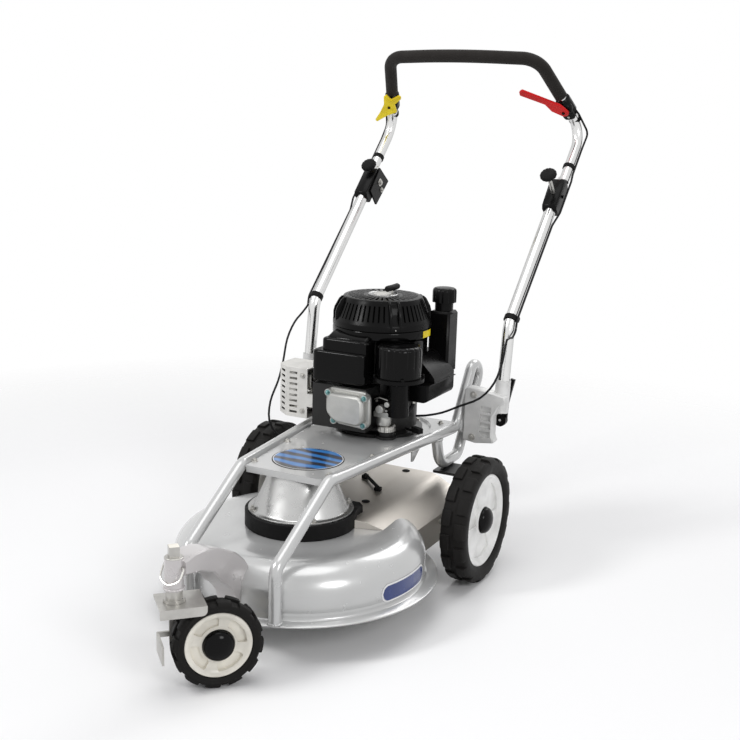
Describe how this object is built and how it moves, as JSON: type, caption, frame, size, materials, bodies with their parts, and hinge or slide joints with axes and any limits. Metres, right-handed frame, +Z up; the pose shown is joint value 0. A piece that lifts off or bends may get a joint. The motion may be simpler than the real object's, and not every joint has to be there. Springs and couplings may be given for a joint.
{
  "type": "petrol lawn mower",
  "caption": "Petrol lawn mower with a round mulching deck, a swivelling front wheel, a belt-driven blade and a folding tubular handle.",
  "frame": {"origin": "on the ground, under the middle of the bounding box at rest", "axes": "+Z up, -Y towards the caster wheel in front, +X towards the side with the red stop lever"},
  "size_m": [0.6056, 1.3812, 1.1604],
  "materials": {
    "silver_paint": "gloss paint",
    "steel": "bright",
    "cast_alloy": "cast",
    "polished_tube": "polished",
    "black_plastic": "satin",
    "gloss_black": "gloss",
    "tyre_rubber": "matt",
    "rim_plastic": "satin",
    "foam": "matt foam",
    "red_plastic": "satin",
    "yellow_plastic": "satin"
  },
  "bodies": {
    "frame": {"deck_shell": "silver_paint", "hub_collar": "black_plastic", "spindle_cone": "steel", "spindle_bearing": "cast_alloy", "rear_housing": "steel", "side_frame_left": "silver_paint", "side_frame_right": "silver_paint", "axle_bracket_left": "black_plastic", "axle_bracket_right": "black_plastic", "engine_plate": "silver_paint", "caster_arm": "silver_paint", "transaxle": "steel", "drive_belt": "tyre_rubber", "engine_block": "cast_alloy", "valve_cover": "cast_alloy", "engine_shroud": "gloss_black", "recoil_cover": "black_plastic", "air_filter_cover": "gloss_black", "air_filter_base": "black_plastic", "fuel_tank": "black_plastic", "muffler": "steel", "muffler_guard": "cast_alloy", "stop_cable_free": "black_plastic", "drive_cable_free": "black_plastic", "starter_rope": "rim_plastic"},
    "crank": {"engine_pulley": "steel"},
    "blade_rotor": {"blade_spindle": "steel", "blade": "steel"},
    "caster": {"caster_stem": "steel", "caster_fork": "steel"},
    "front_wheel": {"front_tyre": "tyre_rubber", "front_rim": "rim_plastic", "front_hub_cap": "gloss_black"},
    "rear_wheel_left": {"rear_left_tyre": "tyre_rubber", "rear_left_rim": "rim_plastic", "rear_left_hub_cap": "gloss_black"},
    "rear_wheel_right": {"rear_right_tyre": "tyre_rubber", "rear_right_rim": "rim_plastic", "rear_right_hub_cap": "gloss_black"},
    "lock_bail": {"lock_bail": "steel"},
    "starter_grip": {"starter_grip": "black_plastic"},
    "fuel_cap": {"fuel_cap": "black_plastic"},
    "lower_handle": {"handle_bracket_left": "cast_alloy", "handle_bracket_right": "cast_alloy", "lower_tube_left": "polished_tube", "lower_tube_right": "polished_tube", "fold_clamp_left": "black_plastic", "fold_clamp_right": "black_plastic", "stop_cable_lower": "black_plastic", "drive_cable_lower": "black_plastic"},
    "cam_left": {"cam_lever_left": "black_plastic"},
    "cam_right": {"cam_lever_right": "black_plastic"},
    "knob_left": {"clamp_knob_left": "black_plastic"},
    "knob_right": {"clamp_knob_right": "black_plastic"},
    "upper_handle": {"upper_handle": "polished_tube", "foam_grip": "foam", "stop_lever_housing": "black_plastic", "drive_lever_housing": "black_plastic"},
    "stop_lever": {"stop_lever": "red_plastic"},
    "drive_lever": {"drive_lever": "yellow_plastic"}
  },
  "joints": [
    {"name": "blade_spin", "type": "hinge", "parent": "frame", "child": "blade_rotor", "pos_m": [0, -0.20792, 0.09], "axis": [0, 0, 1], "continuous": true},
    {"name": "crank_spin", "type": "hinge", "parent": "frame", "child": "crank", "pos_m": [0, 0.14208, 0.27], "axis": [0, 0, 1], "continuous": true},
    {"name": "caster_swivel", "type": "hinge", "parent": "frame", "child": "caster", "pos_m": [0, -0.64192, 0.2], "axis": [0, 0, 1], "continuous": true},
    {"name": "front_wheel_spin", "type": "hinge", "parent": "caster", "child": "front_wheel", "pos_m": [0.05251, -0.58697, 0.083], "axis": [0.723, -0.6909, 0], "continuous": true},
    {"name": "rear_left_spin", "type": "hinge", "parent": "frame", "child": "rear_wheel_left", "pos_m": [0.265, 0.10608, 0.14], "axis": [1, 0, 0], "continuous": true},
    {"name": "rear_right_spin", "type": "hinge", "parent": "frame", "child": "rear_wheel_right", "pos_m": [-0.265, 0.10608, 0.14], "axis": [1, 0, 0], "continuous": true},
    {"name": "lock_bail_swing", "type": "hinge", "parent": "frame", "child": "lock_bail", "pos_m": [0, -0.64192, 0.236], "axis": [1, 0, 0], "range_deg": [-40, 0]},
    {"name": "starter_pull", "type": "slide", "parent": "frame", "child": "starter_grip", "axis": [0, 0, 1], "range_m": [0, 0.5], "stiffness_N_per_m": 12, "springref_m": -0.2, "deforming": ["starter_rope"]},
    {"name": "fuel_cap_turn", "type": "hinge", "parent": "frame", "child": "fuel_cap", "pos_m": [0.111, 0.23308, 0.593], "axis": [0, 0, 1], "range_deg": [0, 120]},
    {"name": "handle_tilt", "type": "hinge", "parent": "frame", "child": "lower_handle", "pos_m": [0, 0.27608, 0.325], "axis": [1, 0, 0], "range_deg": [-18, 18]},
    {"name": "cam_left_turn", "type": "hinge", "parent": "lower_handle", "child": "cam_left", "pos_m": [0.247, 0.27608, 0.325], "axis": [0, 1, 0], "range_deg": [0, 90]},
    {"name": "cam_right_turn", "type": "hinge", "parent": "lower_handle", "child": "cam_right", "pos_m": [-0.247, 0.27608, 0.325], "axis": [0, -1, 0], "range_deg": [0, 90]},
    {"name": "knob_left_turn", "type": "hinge", "parent": "lower_handle", "child": "knob_left", "pos_m": [0.255, 0.5277, 0.8319], "axis": [0, -0.7071, 0.7071], "continuous": true},
    {"name": "knob_right_turn", "type": "hinge", "parent": "lower_handle", "child": "knob_right", "pos_m": [-0.255, 0.55598, 0.86018], "axis": [0, -0.7071, 0.7071], "continuous": true},
    {"name": "upper_fold", "type": "hinge", "parent": "lower_handle", "child": "upper_handle", "pos_m": [0, 0.54608, 0.822], "axis": [1, 0, 0], "range_deg": [-120, 0]},
    {"name": "stop_lever_pull", "type": "hinge", "parent": "upper_handle", "child": "stop_lever", "pos_m": [0.23758, 0.63692, 1.03679], "axis": [0, 0.705, 0.7092], "range_deg": [0, 30], "stiffness_Nm_per_rad": 0.6, "springref_deg": -14.32},
    {"name": "drive_lever_pull", "type": "hinge", "parent": "upper_handle", "child": "drive_lever", "pos_m": [-0.23758, 0.63692, 1.03679], "axis": [0, 0.705, 0.7092], "range_deg": [0, 30], "stiffness_Nm_per_rad": 0.4, "springref_deg": -14.32}
  ],
  "couplings": [
    {"joint": "crank_spin", "follows": "blade_spin", "ratio": 1}
  ]
}
